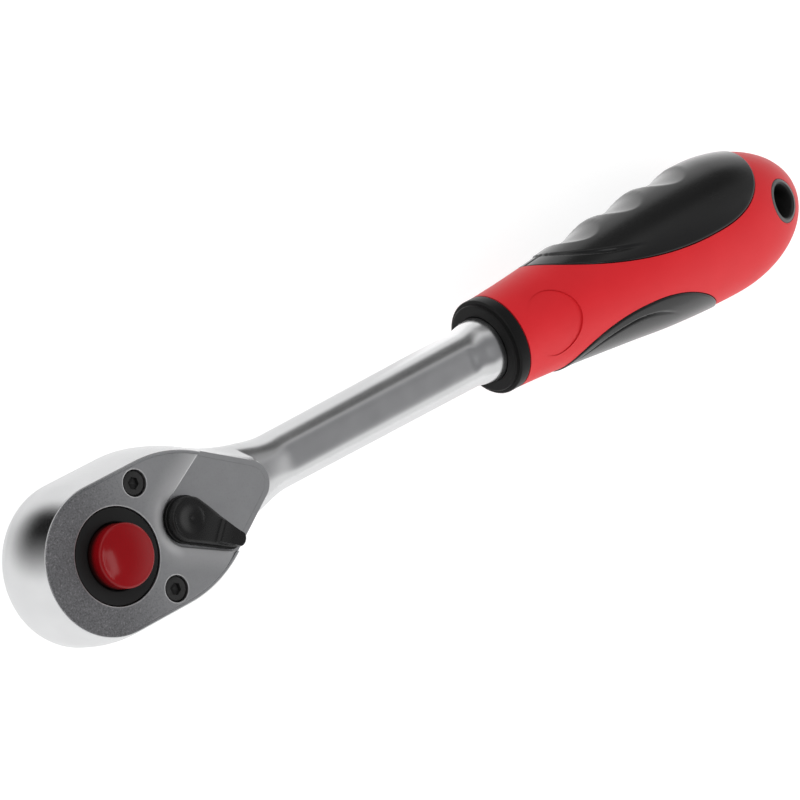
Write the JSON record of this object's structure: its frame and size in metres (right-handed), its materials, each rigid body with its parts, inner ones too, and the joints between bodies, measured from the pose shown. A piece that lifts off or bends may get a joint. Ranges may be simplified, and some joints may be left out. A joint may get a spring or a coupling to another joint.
{
  "type": "reversible ratchet",
  "caption": "Reversible socket ratchet: square drive, pear-shaped chromed head with push-button release and flip lever, round shank and two-part soft-grip handle with a hanging hole.",
  "frame": {"origin": "centre of the drive square's end face", "axes": "+Z along the drive axis, up to the release button; +X along the handle"},
  "size_m": [0.2493, 0.0372, 0.0392],
  "materials": {
    "satin_chrome": "satin chrome plate",
    "blasted_steel": "shot-blasted, matt",
    "black_steel": "black oxide",
    "bright_steel": "ground",
    "black_plastic": "fine moulded satin",
    "red_plastic": "satin moulded",
    "red_button": "gloss moulded",
    "soft_black": "soft-touch moulded",
    "seal_rubber": "moulded"
  },
  "bodies": {
    "head": {"head_and_shank": "satin_chrome", "cover_plate": "blasted_steel", "cover_screw_left": "black_steel", "cover_screw_right": "black_steel", "thrust_washer": "bright_steel", "drive_seal": "seal_rubber", "pawl_pin": "bright_steel", "lever_seal": "seal_rubber", "handle_body": "red_plastic", "front_collar": "black_plastic", "grip_pad_left": "soft_black", "grip_pad_right": "soft_black", "hang_eyelet": "black_plastic"},
    "drive": {"drive_gear": "bright_steel", "button_ring": "black_plastic", "release_spring": "bright_steel"},
    "button": {"release_button": "red_button", "release_pin": "bright_steel"},
    "ball": {"lock_ball": "bright_steel"},
    "pawl": {"pawl": "black_steel"},
    "lever": {"reverse_lever": "black_plastic", "lever_clip": "bright_steel", "detent_spring": "bright_steel"},
    "plunger": {"detent_plunger": "bright_steel"}
  },
  "joints": [
    {"name": "gear_spin", "type": "hinge", "parent": "head", "child": "drive", "pos_m": [0, 0, 0], "axis": [0, 0, 1], "continuous": true},
    {"name": "button_press", "type": "slide", "parent": "drive", "child": "button", "axis": [0, 0, -1], "range_m": [0, 0.0022], "stiffness_N_per_m": 1500, "springref_m": -0.002, "deforming": ["release_spring"]},
    {"name": "ball_slide", "type": "slide", "parent": "drive", "child": "ball", "axis": [1, 0, 0], "range_m": [0, 0.001]},
    {"name": "lever_flip", "type": "hinge", "parent": "head", "child": "lever", "pos_m": [0.02, 0, 0.0335], "axis": [0, 0, 1], "range_deg": [0, 86]},
    {"name": "pawl_rock", "type": "hinge", "parent": "head", "child": "pawl", "pos_m": [0.0145, 0, 0.0243], "axis": [0, 0, 1], "range_deg": [-10, 0]},
    {"name": "plunger_slide", "type": "slide", "parent": "lever", "child": "plunger", "axis": [0.7314, -0.682, 0], "range_m": [0, 0.0004], "stiffness_N_per_m": 800, "springref_m": -0.0005, "deforming": ["detent_spring"]}
  ],
  "couplings": [
    {"joint": "ball_slide", "follows": "button_press", "ratio": 0.45455},
    {"joint": "pawl_rock", "follows": "lever_flip", "ratio": -0.11628}
  ]
}
